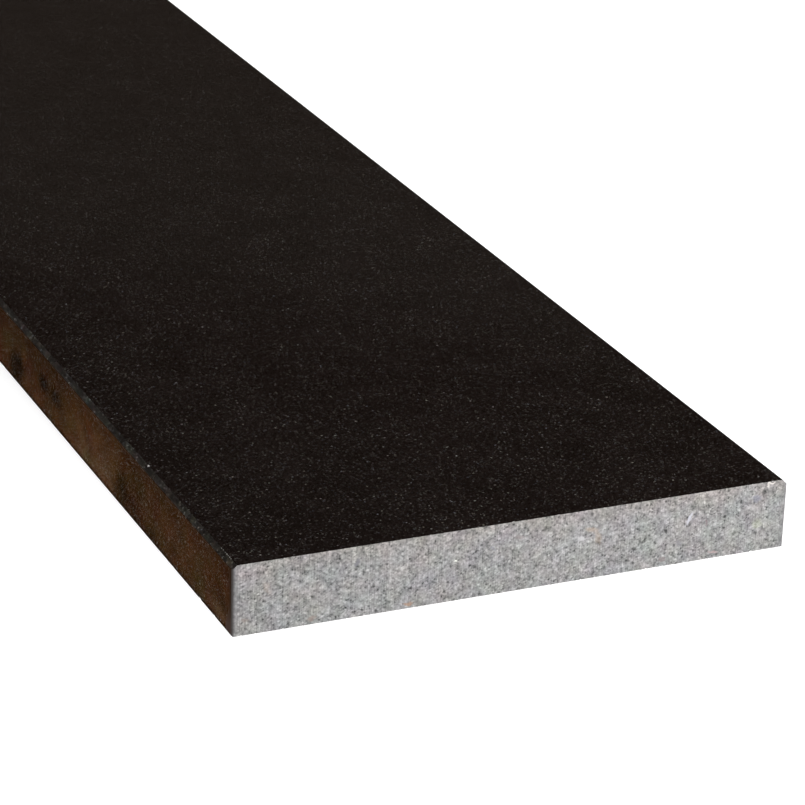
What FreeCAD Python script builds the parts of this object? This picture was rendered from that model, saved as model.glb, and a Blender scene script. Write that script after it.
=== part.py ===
"""A granite slab: one bar of black stone, polished on its top and both long edges, sawn on its ends and underside.

Millimetres. X runs across the slab, Y runs along it from the front end to the back end, and Z points up.
The origin is the middle of the underside. The slab is a single stone, with nothing fitted to it or inside it.
"""

import FreeCAD, Part
import Sketcher

import os

NODE = "granite_slab"
SHEET = "Dimensions"
SLACK = 1e-4

# alias: (millimetres, meaning)
DIMENSIONS = {
    "slab_length": (914.4, "sawn end to sawn end"),
    "slab_width": (152.4, "long edge to long edge"),
    "slab_thickness": (19.05, "underside to polished top"),
    "left_bevel": (1.15, "45 degree bevel along the left long edge of the top, at -X"),
    "right_bevel": (1.65, "45 degree bevel along the right long edge of the top, at +X"),
    "under_ease": (0.3, "45 degree ease along each long edge of the underside"),
    "corner_radius": (0.9, "rounding up each of the four upright corners"),
}


def make_sheet(doc):
    """The driving dimensions, one row each: alias, value, meaning."""
    sheet = doc.addObject("Spreadsheet::Sheet", SHEET)
    for row, (alias, (value, meaning)) in enumerate(DIMENSIONS.items(), start=1):
        sheet.set(f"A{row}", alias)
        sheet.set(f"B{row}", str(value))
        sheet.set(f"C{row}", meaning)
        sheet.setAlias(f"B{row}", alias)
    doc.recompute()
    return sheet


def origin_plane(body, role):
    """One of the body's own origin planes."""
    return next(feature for feature in body.Origin.OriginFeatures if feature.Role == role)


def section_sketch(body, sheet):
    """The slab's section: a rectangle standing on the X axis, as far to the left of Z as to the right."""
    sketch = body.newObject("Sketcher::SketchObject", "Section")
    sketch.AttachmentSupport = [(origin_plane(body, "XZ_Plane"), "")]
    sketch.MapMode = "FlatFace"

    half_width = sheet.slab_width / 2
    corners = [
        FreeCAD.Vector(-half_width, 0, 0),
        FreeCAD.Vector(half_width, 0, 0),
        FreeCAD.Vector(half_width, sheet.slab_thickness, 0),
        FreeCAD.Vector(-half_width, sheet.slab_thickness, 0),
    ]
    bottom, right, top, left = [
        sketch.addGeometry(Part.LineSegment(corners[side - 1], corners[side])) for side in (1, 2, 3, 0)
    ]
    start, end = 1, 2
    for side, following in ((bottom, right), (right, top), (top, left), (left, bottom)):
        sketch.addConstraint(Sketcher.Constraint("Coincident", side, end, following, start))
    for side in (bottom, top):
        sketch.addConstraint(Sketcher.Constraint("Horizontal", side))
    for side in (right, left):
        sketch.addConstraint(Sketcher.Constraint("Vertical", side))
    origin = -1
    sketch.addConstraint(Sketcher.Constraint("Symmetric", bottom, start, bottom, end, origin, start))

    width = Sketcher.Constraint("DistanceX", bottom, start, bottom, end, sheet.slab_width)
    sketch.setExpression(f"Constraints[{sketch.addConstraint(width)}]", f"{SHEET}.slab_width")
    thickness = Sketcher.Constraint("DistanceY", right, start, right, end, sheet.slab_thickness)
    sketch.setExpression(f"Constraints[{sketch.addConstraint(thickness)}]", f"{SHEET}.slab_thickness")
    return sketch


def bar(body, sketch):
    """The section drawn out along Y, half of the length each way."""
    pad = body.newObject("PartDesign::Pad", "Bar")
    pad.Profile = sketch
    pad.SideType = "Symmetric"
    pad.setExpression("Length", f"{SHEET}.slab_length")
    return pad


def dressed(body, kind, name, base, is_dressed, size_name, alias):
    """A Chamfer or Fillet along those edges of the base feature whose midpoint and direction pass is_dressed."""
    body.Document.recompute()
    edges = []
    for number, edge in enumerate(base.Shape.Edges, start=1):
        first, last = edge.Vertexes[0].Point, edge.Vertexes[-1].Point
        if is_dressed((first + last) / 2, (last - first).normalize()):
            edges.append(f"Edge{number}")
    feature = body.newObject(f"PartDesign::{kind}", name)
    feature.Base = (base, edges)
    feature.setExpression(size_name, f"{SHEET}.{alias}")
    return feature


def granite_slab(doc, sheet):
    """The whole stone: the bar, its two top bevels, its two underside eases and its four rounded corners."""
    body = doc.addObject("PartDesign::Body", NODE)
    body.Label = NODE
    pad = bar(body, section_sketch(body, sheet))

    def runs_along(direction, axis):
        return abs(direction.dot(axis)) > 1 - SLACK

    def on_top(middle, direction):
        return runs_along(direction, FreeCAD.Vector(0, 1, 0)) and middle.z > sheet.slab_thickness - SLACK

    def top_left(middle, direction):
        return on_top(middle, direction) and middle.x < 0

    def top_right(middle, direction):
        return on_top(middle, direction) and middle.x > 0

    def on_underside(middle, direction):
        return runs_along(direction, FreeCAD.Vector(0, 1, 0)) and middle.z < SLACK

    def upright(middle, direction):
        return runs_along(direction, FreeCAD.Vector(0, 0, 1))

    left = dressed(body, "Chamfer", "LeftBevel", pad, top_left, "Size", "left_bevel")
    right = dressed(body, "Chamfer", "RightBevel", left, top_right, "Size", "right_bevel")
    eases = dressed(body, "Chamfer", "UndersideEases", right, on_underside, "Size", "under_ease")
    body.Tip = dressed(body, "Fillet", "UprightCorners", eases, upright, "Radius", "corner_radius")
    return body


def check(doc, body):
    """Stops unless every object computed and the body is one valid solid."""
    doc.recompute()
    for item in doc.Objects:
        if "Invalid" in item.State or "Error" in item.State:
            raise RuntimeError(f"{item.Name} failed: {item.State}")
    if body.Shape.isNull() or not body.Shape.isValid() or len(body.Shape.Solids) != 1:
        raise RuntimeError(f"{body.Label} is not one valid solid")


def main():
    doc = FreeCAD.newDocument("GraniteSlab")
    sheet = make_sheet(doc)
    body = granite_slab(doc, sheet)
    check(doc, body)
    os.makedirs("parts", exist_ok=True)
    body.Shape.exportStep(f"parts/{body.Label}.step")
    box = body.Shape.BoundBox
    print(f"{body.Label}: {box.XLength:.2f} x {box.YLength:.2f} x {box.ZLength:.2f} mm, "
          f"{body.Shape.Volume:.0f} mm3, {len(body.Shape.Faces)} faces")


main()
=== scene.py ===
"""Looks for a black granite slab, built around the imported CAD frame.

Lengths are in metres, except in the materials: those work in millimetres, measured from the middle of the
slab's underside (X across, Y along, Z up), and so do the names that end in _mm.
"""

import math
import random

import bmesh
import bpy
from mathutils import Euler, Matrix, Vector


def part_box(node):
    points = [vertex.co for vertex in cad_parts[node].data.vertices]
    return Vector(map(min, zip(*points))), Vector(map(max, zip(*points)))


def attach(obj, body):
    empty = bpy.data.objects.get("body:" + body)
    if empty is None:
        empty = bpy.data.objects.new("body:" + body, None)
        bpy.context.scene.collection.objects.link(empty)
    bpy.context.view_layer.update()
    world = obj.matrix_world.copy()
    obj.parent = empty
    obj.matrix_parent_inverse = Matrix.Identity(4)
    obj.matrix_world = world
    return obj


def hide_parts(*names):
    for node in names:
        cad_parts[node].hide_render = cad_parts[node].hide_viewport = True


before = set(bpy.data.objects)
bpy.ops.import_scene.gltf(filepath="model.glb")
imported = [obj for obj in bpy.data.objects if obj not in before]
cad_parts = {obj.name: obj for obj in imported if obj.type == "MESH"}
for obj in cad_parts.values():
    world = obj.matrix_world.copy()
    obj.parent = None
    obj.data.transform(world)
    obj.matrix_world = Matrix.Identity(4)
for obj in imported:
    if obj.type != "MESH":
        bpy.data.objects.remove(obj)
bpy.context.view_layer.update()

NODE = "granite_slab"
MM = 0.001
LOW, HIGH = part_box(NODE)
LOW_MM = LOW / MM
HIGH_MM = HIGH / MM
TOP_CORNERS = [vert.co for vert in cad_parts[NODE].data.vertices if vert.co.z > HIGH.z - 0.01 * MM]
LEFT_BEVEL_MM = (min(corner.x for corner in TOP_CORNERS) - LOW.x) / MM
RIGHT_BEVEL_MM = (HIGH.x - max(corner.x for corner in TOP_CORNERS)) / MM

# the stone's finishes, in the order of its material slots
POLISHED, HONED, ROUNDED, SAWN, BROKEN = range(5)
# the ranges that most of a cloud's values, and most of the stone's felt, keep within
CLOUD_RANGE = (0.3, 0.7)
FELT_RANGE = (-0.8, 0.8)


# ---------------------------------------------------------------- node helpers

def add(tree, kind, inputs=None, **settings):
    """A node with its settings, and its inputs given as plain values or as other nodes' outputs."""
    made = tree.nodes.new(kind)
    for name, value in settings.items():
        setattr(made, name, value)
    for name, value in (inputs or {}).items():
        if isinstance(value, bpy.types.NodeSocket):
            tree.links.new(value, made.inputs[name])
        else:
            made.inputs[name].default_value = value
    return made


def maths(tree, operation, *values):
    """The output of one Math node."""
    return add(tree, "ShaderNodeMath", dict(enumerate(values)), operation=operation).outputs[0]


def vector_maths(tree, operation, *values, output=0):
    """An output of one Vector Math node: 0 is a vector, and 1 a number."""
    return add(tree, "ShaderNodeVectorMath", dict(enumerate(values)), operation=operation).outputs[output]


def remap(tree, value, low, high, to_low=0.0, to_high=1.0):
    """value carried smoothly from low..high to to_low..to_high, and held there outside."""
    inputs = {0: value, 1: low, 2: high, 3: to_low, 4: to_high}
    return add(tree, "ShaderNodeMapRange", inputs, interpolation_type="SMOOTHSTEP").outputs[0]


def mix(tree, share, first, second, how="MIX"):
    """Colour first, turned by share into second, or into the two combined as how says."""
    inputs = {0: share, 6: first, 7: second}
    return add(tree, "ShaderNodeMix", inputs, data_type="RGBA", blend_type=how).outputs[2]


def scaled(tree, colour, factor):
    """A colour or vector times a number."""
    return add(tree, "ShaderNodeVectorMath", {0: colour, "Scale": factor}, operation="SCALE").outputs[0]


def separate(tree, colour):
    """The three numbers of a colour or vector."""
    return add(tree, "ShaderNodeSeparateXYZ", {0: colour}).outputs


def placed(tree, point, centre=(0, 0, 0), turn=(0, 0, 0), size=(1, 1, 1)):
    """point in a space set at centre, turned by some degrees and divided by size along its own X, Y and Z."""
    inputs = {"Vector": point, "Location": centre, "Rotation": [math.radians(angle) for angle in turn],
              "Scale": size}
    return add(tree, "ShaderNodeMapping", inputs, vector_type="TEXTURE").outputs[0]


def cloud(tree, point, size_mm, detail=1.0, name="Fac"):
    """Smooth noise about 0.5, with lumps about size_mm across, as a number or, named Color, in colour."""
    inputs = {"Vector": point, "Scale": 1 / size_mm, "Detail": detail}
    return add(tree, "ShaderNodeTexNoise", inputs).outputs[name]


def ramp(tree, value, colours):
    """value 0 to 1 as a colour, in even steps through colours."""
    made = add(tree, "ShaderNodeValToRGB", {0: value})
    stops = made.color_ramp.elements
    while len(stops) < len(colours):
        stops.new(0.5)
    for number, colour in enumerate(colours):
        stops[number].position = number / (len(colours) - 1)
        stops[number].color = (*colour, 1)
    return made.outputs[0]


# ---------------------------------------------------------------- the stone's minerals

# The crystals lie six ways, along the axes of an icosahedron, so that none is favoured. Each way has its tilt
# from upright and the way it leans, in degrees, and its crystals' width and length in mm.
CRYSTALS = [
    (0.0, 0, 0.56, 1.7),
    (63.4, 0, 0.62, 2.1),
    (63.4, 72, 0.50, 1.8),
    (63.4, 144, 0.60, 1.6),
    (63.4, 216, 0.52, 2.2),
    (63.4, 288, 0.66, 1.8),
]
# Pale specks: tilt, lean, width and length of the room each has to itself, its size in that room, brightness.
SPECKS = [
    (60, 80, 0.6, 0.8, 0.46, 1.1),
    (20, 200, 0.7, 0.9, 0.44, 1.2),
    (35, 20, 0.9, 1.2, 0.36, 1.6),
    (75, 130, 1.4, 1.9, 0.25, 1.9),
    (55, 250, 2.4, 3.2, 0.15, 2.5),
]
TINTS = [(0.76, 0.83, 1.0), (1.0, 0.97, 0.93), (0.90, 0.97, 0.82), (1.0, 0.90, 0.74), (1.0, 0.87, 0.92)]


def crystals(tree, point, tilt, lean, width_mm, length_mm, edge, core):
    """Long cells that all lie one way: how much of a crystal is here, and three random numbers of its own.
    A crystal reaches from the middle of its cell to edge, and is whole as far as core."""
    space = placed(tree, point, turn=(tilt, 0, lean), size=(width_mm, width_mm, length_mm))
    cells = add(tree, "ShaderNodeTexVoronoi", {"Vector": space, "Scale": 1.0}).outputs
    body = remap(tree, cells["Distance"], edge, core)
    return body, separate(tree, cells["Color"])


def minerals():
    """A node group: what the stone holds at each place in it, shared by all its finishes.

    Point is the place in mm, Pale the pale crystals as they show through polish, Felt the light and dark
    crystals of a rough face about 0, Lumps a slow change of density about 0.5, and Tint one of colour."""
    group = bpy.data.node_groups.new("granite minerals", "ShaderNodeTree")
    kinds = {"Point": "Vector", "Pale": "Color", "Felt": "Float", "Lumps": "Float", "Tint": "Color"}
    for name, kind in kinds.items():
        group.interface.new_socket(name, in_out="OUTPUT", socket_type=f"NodeSocket{kind}")
    point = scaled(group, add(group, "ShaderNodeTexCoord").outputs["Object"], 1 / MM)

    lumps = cloud(group, point, 16.0, detail=2.0)
    felt = 0.0
    for way in CRYSTALS:
        body, dice = crystals(group, point, *way, edge=0.66, core=0.30)
        shade = maths(group, "SUBTRACT", dice[0], 0.5)
        felt = maths(group, "MULTIPLY_ADD", body, shade, felt)
    pale = (0.0, 0.0, 0.0)
    for *way, size, brightness in SPECKS:
        body, dice = crystals(group, point, *way, edge=size, core=size / 3)
        strength = maths(group, "MULTIPLY", maths(group, "POWER", dice[0], 6.0), brightness)
        speck = scaled(group, ramp(group, dice[1], TINTS), maths(group, "MULTIPLY", body, strength))
        pale = vector_maths(group, "ADD", pale, speck)
    pale = scaled(group, pale, remap(group, lumps, *CLOUD_RANGE, 0.8, 1.2))
    tint = cloud(group, point, 5.0, detail=1.5, name="Color")
    add(group, "NodeGroupOutput", {"Point": point, "Pale": pale, "Felt": felt, "Lumps": lumps, "Tint": tint})
    return group


# ---------------------------------------------------------------- the stone's finishes

def new_material(name, group):
    """An empty material: its node tree, the minerals node and the shader, which is joined to the output."""
    material = bpy.data.materials.new(name)
    material.use_nodes = True
    tree = material.node_tree
    tree.nodes.clear()
    shader = add(tree, "ShaderNodeBsdfPrincipled", {"IOR": 1.55})
    add(tree, "ShaderNodeOutputMaterial", {"Surface": shader.outputs[0]})
    stone = add(tree, "ShaderNodeGroup", node_tree=group).outputs
    return material, tree, stone, shader.inputs


def relief(tree, inputs, height, depth_mm):
    """Fine roughness under the light, depth_mm deep where height goes from 0 to 1."""
    bump = add(tree, "ShaderNodeBump", {"Height": height, "Distance": depth_mm * MM, "Strength": 1.0})
    tree.links.new(bump.outputs[0], inputs["Normal"])


def below_bevel(tree, across, up):
    """How far a place on a long edge is below the bevel over it, in mm. On the bevel it is less than 0."""
    arris = remap(tree, across, -1.0, 1.0, HIGH_MM.z - LEFT_BEVEL_MM, HIGH_MM.z - RIGHT_BEVEL_MM)
    return maths(tree, "SUBTRACT", arris, up)


def polished_granite(group):
    """Top and long edges: near black, with small pale crystals under a clear polish."""
    material, tree, stone, shader = new_material("polished_granite", group)
    across, along, up = separate(tree, stone["Point"])
    on_side = maths(tree, "GREATER_THAN", maths(tree, "ABSOLUTE", across), HIGH_MM.x - 0.05)
    # the long edges are less finely polished than the top, so the crystals show more in them
    felt_on_top = remap(tree, stone["Felt"], *FELT_RANGE, 0.5, 1.5)
    felt_on_side = remap(tree, stone["Felt"], -0.4, 1.0, 0.0, 4.0)
    more = maths(tree, "SUBTRACT", felt_on_side, felt_on_top)
    felt = maths(tree, "MULTIPLY_ADD", on_side, more, felt_on_top)
    lumps = remap(tree, stone["Lumps"], *CLOUD_RANGE, 0.8, 1.2)
    black = scaled(tree, (0.0041, 0.0031, 0.0029), maths(tree, "MULTIPLY", lumps, felt))
    # the pale crystals fade towards the back
    fade_from, fade_to = LOW_MM.y + 80, LOW_MM.y + 400
    fade = remap(tree, along, fade_from, fade_to, 0.046, 0.028)
    brighter_on_side = 0.5
    brightness = maths(tree, "MULTIPLY", fade, maths(tree, "MULTIPLY_ADD", on_side, brighter_on_side, 1.0))
    colour = vector_maths(tree, "ADD", black, scaled(tree, stone["Pale"], brightness))
    # by the ends the long edges are scuffed, most strongly and farthest in low down
    farther_in = 2.4
    low_down = remap(tree, up, LOW_MM.z + 8, LOW_MM.z + 1)
    from_middle = maths(tree, "MULTIPLY_ADD", low_down, farther_in, maths(tree, "ABSOLUTE", along))
    scuffed = maths(tree, "MULTIPLY", on_side, remap(tree, from_middle, HIGH_MM.y - 2.6, HIGH_MM.y - 1.2))
    scuff = mix(tree, low_down, (0.010, 0.0095, 0.009, 1), (0.042, 0.032, 0.032, 1))
    tree.links.new(mix(tree, scuffed, colour, scuff), shader["Base Color"])
    # their polish dies away there and just under the bevels
    rougher = 0.35
    by_bevel = remap(tree, below_bevel(tree, across, up), 0.9, 0.0)
    dulled = maths(tree, "MAXIMUM", scuffed, maths(tree, "MULTIPLY", on_side, by_bevel))
    polish = remap(tree, stone["Lumps"], *CLOUD_RANGE, 0.05, 0.08)
    tree.links.new(maths(tree, "MULTIPLY_ADD", dulled, rougher, polish), shader["Roughness"])
    return material


def honed_granite(group):
    """Bevels and eased arrises: ground but not polished, so greyer, with the crystals showing more."""
    material, tree, stone, shader = new_material("honed_granite", group)
    across, along, up = separate(tree, stone["Point"])
    worn = remap(tree, cloud(tree, stone["Point"], 2.2, detail=3.0), 0.35, 0.65, 0.4, 1.6)
    # a bevel is a little paler low down, and by the ends
    low_down = remap(tree, below_bevel(tree, across, up), -LEFT_BEVEL_MM, 0.0, 0.95, 1.2)
    worn = maths(tree, "MULTIPLY", worn, low_down)
    by_end = remap(tree, maths(tree, "ABSOLUTE", along), HIGH_MM.y - 9, HIGH_MM.y - 3, 1.0, 1.5)
    worn = maths(tree, "MULTIPLY", worn, by_end)
    felt = remap(tree, stone["Felt"], *FELT_RANGE, 0.3, 1.7)
    grey = mix(tree, 0.7, (0.0100, 0.0083, 0.0066, 1), stone["Tint"], how="SOFT_LIGHT")
    grey = scaled(tree, grey, maths(tree, "MULTIPLY", worn, felt))
    pale_share = 0.07
    pale = scaled(tree, stone["Pale"], maths(tree, "MULTIPLY", worn, pale_share))
    tree.links.new(vector_maths(tree, "ADD", grey, pale), shader["Base Color"])
    tree.links.new(remap(tree, stone["Lumps"], *CLOUD_RANGE, 0.25, 0.4), shader["Roughness"])
    relief(tree, shader, stone["Felt"], depth_mm=0.02)
    return material


def rough_grey(tree, stone, mean, contrast):
    """The grey of unpolished stone: light and dark crystals about a mean colour, in clusters, under a slow
    drift of tint."""
    clusters = remap(tree, cloud(tree, stone["Point"], 2.2, detail=1.0), 0.25, 0.75, 0.84, 1.16)
    shade = maths(tree, "MULTIPLY_ADD", stone["Felt"], contrast, clusters)
    darkest = 0.1
    grey = scaled(tree, mean, maths(tree, "MAXIMUM", shade, darkest))
    return mix(tree, 0.10, grey, stone["Tint"], how="SOFT_LIGHT")


# Single marks on the front end: mm across from the left edge and up from the underside, width and height in
# mm, turn in degrees, colour, and how much of it covers the stone.
MARKS = [
    (96.4, 13.4, 4.0, 1.8, -20, (0.34, 0.25, 0.18), 0.45),
    (98.4, 11.2, 2.0, 4.2, 10, (0.33, 0.26, 0.20), 0.40),
    (9.0, 11.8, 1.8, 5.0, 25, (0.30, 0.24, 0.20), 0.35),
    (124.3, 12.3, 4.4, 0.9, 62, (0.50, 0.50, 0.56), 0.75),
    (125.5, 12.2, 4.0, 0.7, 62, (0.12, 0.12, 0.14), 0.60),
    (126.1, 7.7, 2.6, 0.45, -42, (0.50, 0.50, 0.50), 0.45),
    (121.6, 5.6, 1.6, 2.4, 20, (0.14, 0.14, 0.16), 0.50),
    (117.2, 1.9, 2.6, 1.6, -30, (0.15, 0.10, 0.10), 0.50),
    (32.6, 14.7, 2.8, 1.2, 65, (0.13, 0.13, 0.15), 0.75),
    (69.3, 12.6, 2.6, 0.8, -20, (0.15, 0.15, 0.18), 0.65),
    (68.9, 9.0, 2.8, 0.6, 80, (0.17, 0.17, 0.18), 0.60),
    (3.4, 4.1, 2.2, 1.4, 0, (0.19, 0.15, 0.13), 0.55),
    (76.6, 14.4, 3.0, 1.8, -15, (0.21, 0.17, 0.17), 0.50),
    (93.6, 11.2, 2.0, 1.8, 0, (0.50, 0.49, 0.50), 0.60),
    (143.6, 14.9, 3.2, 2.2, 0, (0.16, 0.17, 0.22), 0.55),
    (144.2, 7.4, 3.6, 3.2, 0, (0.33, 0.35, 0.26), 0.45),
    (129.1, 10.4, 1.0, 2.2, 0, (0.16, 0.11, 0.12), 0.65),
    (59.1, 10.7, 0.8, 0.8, 0, (0.75, 0.76, 0.70), 0.90),
    (46.4, 1.2, 3.4, 1.0, 0, (0.36, 0.22, 0.14), 0.60),
    (20.7, 1.6, 3.0, 1.4, 0, (0.24, 0.17, 0.14), 0.50),
    (131.6, 1.8, 3.2, 0.8, -15, (0.40, 0.27, 0.27), 0.50),
    (147.4, 18.5, 2.6, 0.7, 4, (0.60, 0.59, 0.57), 0.90),
    (146.6, 17.9, 1.6, 0.7, 10, (0.55, 0.54, 0.52), 0.80),
    (149.4, 16.2, 0.7, 0.7, 0, (0.50, 0.50, 0.50), 0.60),
]


def with_marks(tree, point, colour):
    """colour with the single marks over it, uneven in outline. A mark goes a little way into the stone."""
    depth_mm = 3.0
    unevenness_mm = 1.6
    shift = vector_maths(tree, "SUBTRACT", cloud(tree, point, 1.1, name="Color"), (0.5, 0.5, 0.5))
    point = vector_maths(tree, "ADD", point, scaled(tree, shift, unevenness_mm))
    for across, up, width, height, turn, tone, cover in MARKS:
        centre = (LOW_MM.x + across, LOW_MM.y, LOW_MM.z + up)
        space = placed(tree, point, centre, (0, -turn, 0), (width / 2, depth_mm, height / 2))
        share = remap(tree, vector_maths(tree, "LENGTH", space, output=1), 1.25, 0.4, 0.0, cover)
        colour = mix(tree, share, colour, (*tone, 1))
    return colour


def sawn_granite(group):
    """Ends and underside: sawn and left rough. They are mid grey, warmer just under the top, and darker near
    the sides, partly as painted shade leading into the rounded corners' turn away from the light."""
    material, tree, stone, shader = new_material("sawn_granite", group)
    colour = rough_grey(tree, stone, mean=(0.222, 0.219, 0.217), contrast=0.68)
    colour = with_marks(tree, stone["Point"], colour)
    across, _, up = separate(tree, stone["Point"])
    under_top = remap(tree, up, HIGH_MM.z - 6.0, HIGH_MM.z - 0.4, 0.0, 0.8)
    colour = mix(tree, under_top, colour, (1.0, 0.94, 0.91, 1), how="MULTIPLY")
    # darker near the sides: partly painted shade, leading into the rounded corners' turn away from the light
    near_side = remap(tree, maths(tree, "ABSOLUTE", across), HIGH_MM.x - 2.6, HIGH_MM.x - 0.8, 0.0, 0.3)
    colour = mix(tree, near_side, colour, (0.1, 0.1, 0.105, 1))
    tree.links.new(colour, shader["Base Color"])
    tree.links.new(remap(tree, stone["Felt"], *FELT_RANGE, 0.7, 0.9), shader["Roughness"])
    relief(tree, shader, stone["Felt"], depth_mm=0.03)
    return material


def rounded_granite(group):
    """Upright corners: worn round, and darker towards the long edge, where the polish begins; part of that
    darkening is painted shade for the corner turning away from the light.
    """
    material, tree, stone, shader = new_material("rounded_granite", group)
    rough = rough_grey(tree, stone, mean=(0.190, 0.188, 0.194), contrast=0.5)
    across, _, _ = separate(tree, stone["Point"])
    # partly painted shade for the corner turning away from the light, and partly the darker polish that
    # begins at the long edge
    polish_and_shade_to_side = remap(tree, maths(tree, "ABSOLUTE", across), HIGH_MM.x - 0.9, HIGH_MM.x)
    tree.links.new(mix(tree, polish_and_shade_to_side, rough, (0.045, 0.042, 0.041, 1)), shader["Base Color"])
    tree.links.new(remap(tree, stone["Felt"], *FELT_RANGE, 0.4, 0.6), shader["Roughness"])
    return material


def broken_granite(group):
    """Small chips out of the arrises: fresh stone, the palest of the five."""
    material, tree, stone, shader = new_material("broken_granite", group)
    fresh = rough_grey(tree, stone, mean=(0.30, 0.288, 0.28), contrast=0.5)
    tree.links.new(fresh, shader["Base Color"])
    shader["Roughness"].default_value = 0.75
    return material


# ---------------------------------------------------------------- the stone's shape

def finish_of_face(normal):
    """Which finish a flat face of the stone has, from the way it faces."""
    square = 0.995
    upright = 0.01
    if abs(normal.y) > square or normal.z < -square:
        return SAWN
    if abs(normal.x) > square or normal.z > square:
        return POLISHED
    if abs(normal.z) < upright:
        return ROUNDED
    return HONED


def blank():
    """The CAD stone as a clean closed mesh, cut into cells so that no face is much longer than it is wide."""
    stone = bmesh.new()
    stone.from_mesh(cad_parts[NODE].data)
    bmesh.ops.remove_doubles(stone, verts=stone.verts, dist=0.001 * MM)
    bmesh.ops.dissolve_limit(stone, angle_limit=math.radians(1), verts=stone.verts, edges=stone.edges)
    cells_across, cells_along = 6, 36
    for normal, cells in (((1, 0, 0), cells_across), ((0, 1, 0), cells_along)):
        for number in range(1, cells):
            place = LOW.lerp(HIGH, number / cells)
            bmesh.ops.bisect_plane(stone, geom=stone.verts[:] + stone.edges[:] + stone.faces[:],
                                   plane_co=place, plane_no=normal)
    for face in stone.faces:
        face.material_index = finish_of_face(face.normal)
        face.smooth = False
    return stone


def chip(cutters, place, out, along, size, rng):
    """A faceted lump, longer along the arris than it is deep, that takes a chip out of the stone at place."""
    sink = rng.uniform(0.25, 0.6)
    turn = Euler([rng.uniform(-0.5, 0.5) for _ in range(3)]).to_matrix().to_4x4()
    frame_of_arris = Matrix((along, out, along.cross(out))).transposed().to_4x4()
    stretch = Matrix.Diagonal((size * rng.uniform(1.0, 2.2), size, size * rng.uniform(0.9, 1.3), 1))
    matrix = Matrix.Translation(place + out * size * sink) @ frame_of_arris @ turn @ stretch
    lump = bmesh.ops.create_icosphere(cutters, subdivisions=1, radius=1, matrix=matrix)
    for vert in lump["verts"]:
        vert.co += (vert.co - place) * rng.uniform(-0.18, 0.18)


def chips_along(cutters, start, end, out, gap, sizes, rng):
    """Chips at random along an arris from start to end: gap apart on average, and of a size between sizes,
    most of them near the smallest. No two touch."""
    along = (end - start).normalized()
    length = (end - start).length
    smallest, largest = sizes
    # how far a chip may reach from its middle, in its own sizes
    reach = 2.7
    at = 0.0
    while True:
        size = smallest + (largest - smallest) * rng.random() ** 6
        at += size * reach + rng.expovariate(1 / gap)
        if at + size * reach > length:
            return
        chip(cutters, start + along * at, out, along, size, rng)
        at += size * reach


def make_cutters(rng):
    """All the chips: small and close together round the sawn ends, few along the ground long arrises, and
    some in the upper arris of the left bevel."""
    cutters = bmesh.new()
    for y, outward in ((LOW.y, -1), (HIGH.y, 1)):
        for z, up in ((LOW.z, -1), (HIGH.z, 1)):
            out = Vector((0, outward, up)).normalized()
            chips_along(cutters, Vector((LOW.x, y, z)), Vector((HIGH.x, y, z)), out,
                        gap=1.6 * MM, sizes=(0.10 * MM, 0.55 * MM), rng=rng)
        for x, side in ((LOW.x, -1), (HIGH.x, 1)):
            out = Vector((side, outward, 0)).normalized()
            chips_along(cutters, Vector((x, y, LOW.z)), Vector((x, y, HIGH.z)), out,
                        gap=4 * MM, sizes=(0.35 * MM, 0.6 * MM), rng=rng)
    for x, side in ((LOW.x, -1), (HIGH.x, 1)):
        for z, up in ((LOW.z, -1), (HIGH.z, 1)):
            out = Vector((side, 0, up)).normalized()
            chips_along(cutters, Vector((x, LOW.y, z)), Vector((x, HIGH.y, z)), out,
                        gap=18 * MM, sizes=(0.8 * MM, 1.3 * MM), rng=rng)
    # one bright chip in the left bevel, and a flaked stretch by the front end
    upper_arris = Vector((LOW.x + LEFT_BEVEL_MM * MM, LOW.y, HIGH.z))
    along = Vector((0, 1, 0))
    out = Vector((-1, 0, 2)).normalized()
    chip(cutters, upper_arris + along * 62.4 * MM, out, along, size=0.5 * MM, rng=rng)
    chips_along(cutters, upper_arris + along * 3.5 * MM, upper_arris + along * 11 * MM, out,
                gap=0.1 * MM, sizes=(0.16 * MM, 0.28 * MM), rng=rng)
    return cutters


def as_object(name, mesh_maker, materials):
    """A scene object from a bmesh, which is freed."""
    mesh = bpy.data.meshes.new(name)
    mesh_maker.to_mesh(mesh)
    mesh_maker.free()
    for material in materials:
        mesh.materials.append(material)
    made = bpy.data.objects.new(name, mesh)
    bpy.context.scene.collection.objects.link(made)
    return made


def volume(mesh):
    """The volume that a closed mesh holds."""
    solid = bmesh.new()
    solid.from_mesh(mesh)
    held = solid.calc_volume()
    solid.free()
    return held


def granite_slab(materials):
    """Makes the finished stone: the CAD shape with its arrises chipped."""
    rng = random.Random(7)
    stone = as_object("granite_slab_stone", blank(), materials)
    cutter_mesh = make_cutters(rng)
    for face in cutter_mesh.faces:
        face.material_index = BROKEN
    cutters = as_object("chips", cutter_mesh, materials)
    carve = stone.modifiers.new("chips", "BOOLEAN")
    carve.operation = "DIFFERENCE"
    carve.solver = "EXACT"
    carve.use_self = True
    carve.object = cutters
    bpy.context.view_layer.update()
    carved = bpy.data.meshes.new_from_object(stone.evaluated_get(bpy.context.evaluated_depsgraph_get()))
    stone.modifiers.clear()
    if not 0.999 < volume(carved) / volume(stone.data) < 1.0:
        raise RuntimeError("the chips took too much or nothing off the stone")
    stone.data = carved
    bpy.data.objects.remove(cutters)
    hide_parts(NODE)
    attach(stone, "root")


# ---------------------------------------------------------------- camera, light and floor

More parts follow.
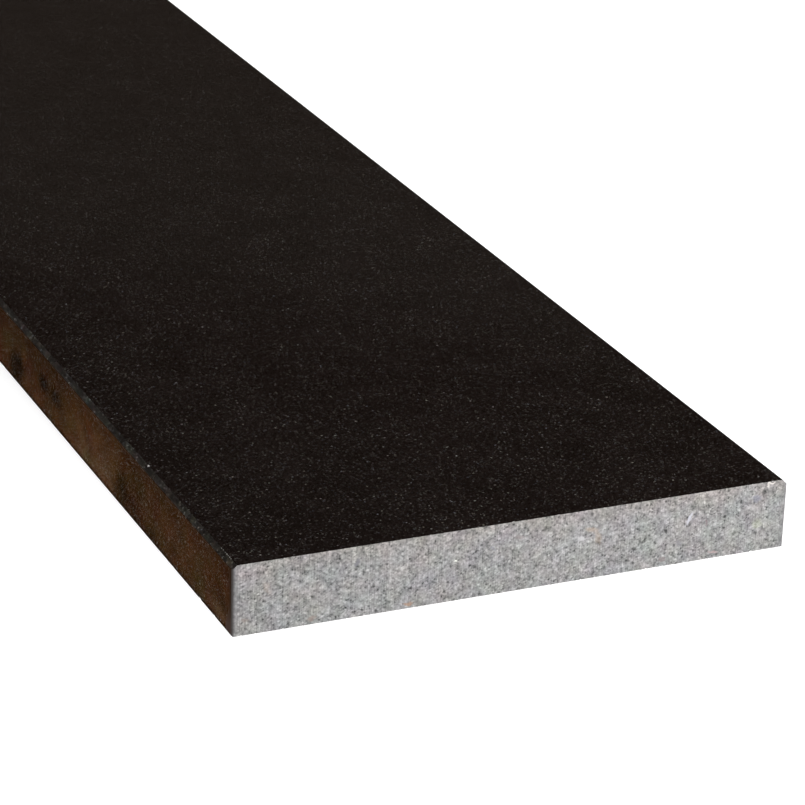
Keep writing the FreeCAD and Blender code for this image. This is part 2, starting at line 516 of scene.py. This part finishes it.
def look(azimuth, elevation, roll, aim, distance, lens):
    """Sets up the scene's camera: it looks at aim along azimuth degrees from +Y towards +X, and elevation
    degrees down."""
    data = bpy.data.cameras.new("camera")
    data.lens = lens
    data.sensor_width = 36.0
    data.clip_start = 0.01
    data.clip_end = 100.0
    camera = bpy.data.objects.new("camera", data)
    turn = (Matrix.Rotation(math.radians(-azimuth), 4, "Z")
            @ Matrix.Rotation(math.radians(90 - elevation), 4, "X")
            @ Matrix.Rotation(math.radians(roll), 4, "Z"))
    back = turn @ Vector((0, 0, 1))
    camera.matrix_world = Matrix.Translation(aim + back * distance) @ turn
    bpy.context.scene.collection.objects.link(camera)
    bpy.context.scene.camera = camera


def glow(name):
    """A material that only gives off light: the material, its node tree and the inputs of its light."""
    material = bpy.data.materials.new(name)
    material.use_nodes = True
    tree = material.node_tree
    tree.nodes.clear()
    light = add(tree, "ShaderNodeEmission")
    add(tree, "ShaderNodeOutputMaterial", {"Surface": light.outputs[0]})
    return material, tree, light.inputs


def only_in_reflections(card):
    """Makes card staging that the camera never sees and that lights nothing but glossy surfaces."""
    card.visible_camera = False
    card.visible_diffuse = False
    card.visible_transmission = False
    card.visible_shadow = False


def pale_floor():
    """A wide white floor under the stone."""
    mesh = bmesh.new()
    bmesh.ops.create_grid(mesh, x_segments=1, y_segments=1, size=40.0)
    material = bpy.data.materials.new("pale_floor")
    material.use_nodes = True
    shader = material.node_tree.nodes["Principled BSDF"].inputs
    shader["Base Color"].default_value = (0.85, 0.85, 0.85, 1)
    shader["Roughness"].default_value = 0.9
    shader["Specular IOR Level"].default_value = 0.0
    shader["Emission Color"].default_value = (1, 1, 1, 1)
    shader["Emission Strength"].default_value = 0.25
    floor = as_object("floor", mesh, [material])
    floor.location.z = LOW.z


# How bright the wooden table is along the slab's left edge: from its front end, every 12 mm.
TABLE_SHADES = (0.94, 0.94, 1.0, 0.97, 0.94, 0.86, 0.75, 0.75, 0.74, 0.76, 0.70, 0.54, 0.42, 0.46, 0.44, 0.46)
TABLE_STEP_MM = 12.0
# From here on, in mm from the front end, it is a paler board.
PALER_BOARD_MM = 88.0
# Where the slab's edge mirrors the table to the scene's camera: for each mm that a place is away from the
# edge, it shows this many mm nearer the front end, and it is this many mm away for each mm up the edge.
MIRROR_NEARER = 2.93
MIRROR_AWAY = 0.73
# The table's shades lie slantwise: for each mm up the edge they show this many mm nearer the front end.
SLANT = 0.47
# Darker and paler blots on it, by where they show in the slab's edge: mm from the front end and up from the
# underside, length and height in mm, and how much they change the brightness.
TABLE_BLOTS = [
    (8, 2.5, 14, 5, 0.40),
    (60, 1.8, 18, 4, -0.30),
    (70, 4.2, 10, 5, -0.30),
    (78, 6.2, 8, 8, -0.40),
    (135, 9.2, 9, 6, -0.60),
    (147, 9.3, 9, 6, -0.60),
    (152, 2.5, 8, 3, 0.35),
    (171, 5.5, 14, 10, -0.70),
    (165, 10.8, 4, 7, 0.40),
]


def table_reflection():
    """A brown wooden strip beside the left long edge, seen only in its polish."""
    width = 0.3
    length = HIGH.y - LOW.y + 0.4
    mesh = bmesh.new()
    corners = [Vector((LOW.x - width * a, length * (b - 0.5), LOW.z + 0.05 * MM))
               for a, b in ((0, 0), (0, 1), (1, 1), (1, 0))]
    mesh.faces.new([mesh.verts.new(corner) for corner in corners])
    material, tree, light = glow("table_reflection")
    point = scaled(tree, add(tree, "ShaderNodeTexCoord").outputs["Object"], 1 / MM)
    across, along, _ = separate(tree, point)
    away = maths(tree, "SUBTRACT", LOW_MM.x, across)
    mirrored = maths(tree, "MULTIPLY_ADD", away, -MIRROR_NEARER, along)
    height = maths(tree, "DIVIDE", away, MIRROR_AWAY)
    spot = add(tree, "ShaderNodeCombineXYZ", {"X": mirrored, "Y": height}).outputs[0]
    slanted = maths(tree, "MULTIPLY_ADD", height, SLANT, mirrored)
    reach = (len(TABLE_SHADES) - 1) * TABLE_STEP_MM
    share = add(tree, "ShaderNodeMapRange", {0: slanted, 1: LOW_MM.y, 2: LOW_MM.y + reach}).outputs[0]
    shade = ramp(tree, share, [(value,) * 3 for value in TABLE_SHADES])
    # the paler board, palest low in the slab's edge, begins at a ragged line
    how_pale = remap(tree, height, 2.0, 17.0, 1.75, 1.30)
    board = LOW_MM.y + PALER_BOARD_MM
    raggedness_mm = 8.0
    blotches = cloud(tree, spot, 6.0, detail=3.0)
    uneven = maths(tree, "MULTIPLY_ADD", blotches, raggedness_mm, slanted)
    shade = maths(tree, "MULTIPLY", shade, remap(tree, uneven, board + 1, board + 7, 1.0, how_pale))
    blotches = remap(tree, blotches, *CLOUD_RANGE, 0.85, 1.15)
    fine = cloud(tree, placed(tree, spot, size=(1.2, 0.8, 1)), 0.7)
    grain = remap(tree, fine, *CLOUD_RANGE, 0.70, 1.30)
    shade = maths(tree, "MULTIPLY", shade, maths(tree, "MULTIPLY", blotches, grain))
    darkest = 0.1
    for place, up, long, high, change in TABLE_BLOTS:
        space = placed(tree, spot, (LOW_MM.y + place, up, 0), size=(long / 2, high / 2, 1))
        cover = remap(tree, vector_maths(tree, "LENGTH", space, output=1), 1.5, 0.2, 0.0, change)
        shade = maths(tree, "MAXIMUM", maths(tree, "ADD", shade, cover), darkest)
    # dimmer farther off, and in the slab's own shadow, close to it
    shade = maths(tree, "MULTIPLY", shade, remap(tree, height, 11.0, 17.5, 1.0, 0.80))
    shade = maths(tree, "MULTIPLY", shade, remap(tree, away, 0.2, 1.3, 0.3, 1.0))
    tint = cloud(tree, spot, 8.0, detail=3.0, name="Color")
    brown = scaled(tree, mix(tree, 0.45, (0.186, 0.078, 0.026, 1), tint, how="SOFT_LIGHT"), shade)
    # its brightest places are less brown
    hazy_from = 1.05
    over = maths(tree, "MAXIMUM", maths(tree, "SUBTRACT", shade, hazy_from), 0.0)
    haze = scaled(tree, (0.08, 0.11, 0.085), over)
    tree.links.new(vector_maths(tree, "ADD", brown, haze), light["Color"])
    card = as_object("table_reflection", mesh, [material])
    only_in_reflections(card)


# Soft light in the dim room: the azimuth and elevation of its middle in degrees, how far from there it is
# whole and where it has faded out, also in degrees, and its brightness.
SOFT_PATCHES = [
    (-32, 30, 8, 34, 0.07),
    (95, 55, 10, 45, 0.25),
    (200, 35, 10, 50, 0.20),
]


def direction(azimuth, elevation):
    """A unit vector at azimuth degrees from +Y towards +X and elevation degrees up."""
    turn = Matrix.Rotation(math.radians(-azimuth), 4, "Z") @ Matrix.Rotation(math.radians(elevation), 4, "X")
    return turn @ Vector((0, 1, 0))


def soft_patch(tree, way, azimuth, elevation, inner, outer):
    """1 within inner degrees of a direction, falling to 0 at outer degrees."""
    nearness = vector_maths(tree, "DOT_PRODUCT", way, direction(azimuth, elevation), output=1)
    return remap(tree, nearness, math.cos(math.radians(outer)), math.cos(math.radians(inner)))


def dim_room():
    """A far dome, seen only in polish: a dark room, lighter up to about 19 degrees, where its edge slants a
    little, with soft light from some sides."""
    mesh = bmesh.new()
    bmesh.ops.create_uvsphere(mesh, u_segments=48, v_segments=24, radius=35.0)
    material, tree, light = glow("dim_room")
    way = vector_maths(tree, "NORMALIZE", add(tree, "ShaderNodeTexCoord").outputs["Object"])
    height = vector_maths(tree, "DOT_PRODUCT", way, (-0.105, 0, 1), output=1)
    low_down = remap(tree, height, 0.342, 0.308)
    room = mix(tree, low_down, (0.027, 0.015, 0.010, 1), (0.049, 0.037, 0.029, 1))
    for azimuth, elevation, inner, outer, brightness in SOFT_PATCHES:
        patch = maths(tree, "MULTIPLY", soft_patch(tree, way, azimuth, elevation, inner, outer), brightness)
        room = vector_maths(tree, "ADD", room, scaled(tree, (1.0, 0.99, 0.95), patch))
    tree.links.new(room, light["Color"])
    dome = as_object("dim_room", mesh, [material])
    only_in_reflections(dome)


def white_surroundings():
    """An even white studio, which polish doesn't mirror."""
    world = bpy.data.worlds.new("studio")
    world.use_nodes = True
    world.node_tree.nodes["Background"].inputs["Color"].default_value = (1, 1, 1, 1)
    world.node_tree.nodes["Background"].inputs["Strength"].default_value = 1.0
    bpy.context.scene.world = world
    world.cycles_visibility.glossy = False
    bpy.context.scene.view_settings.view_transform = "Standard"


def soft_light(name, place, target, size, power):
    """A square area light at place, facing target, that shows in no reflection and throws no shadow."""
    data = bpy.data.lights.new(name, "AREA")
    data.use_shadow = False
    data.shape = "SQUARE"
    data.size = size
    data.energy = power
    light = bpy.data.objects.new(name, data)
    light.location = place
    light.rotation_euler = (place - target).to_track_quat("Z", "Y").to_euler()
    light.visible_glossy = False
    light.visible_camera = False
    bpy.context.scene.collection.objects.link(light)


def main():
    group = minerals()
    makers = (polished_granite, honed_granite, rounded_granite, sawn_granite, broken_granite)
    granite_slab([make(group) for make in makers])
    aim = Vector((2.78 * MM, LOW.y + 79.18 * MM, HIGH.z))
    look(azimuth=24.35, elevation=22.775, roll=1.93, aim=aim, distance=0.9102, lens=152.03)
    white_surroundings()
    pale_floor()
    table_reflection()
    dim_room()
    front = Vector((0, LOW.y, 0))
    soft_light("key", front + Vector((0.35, -0.35, 0.45)), front, size=0.4, power=3.7)


main()
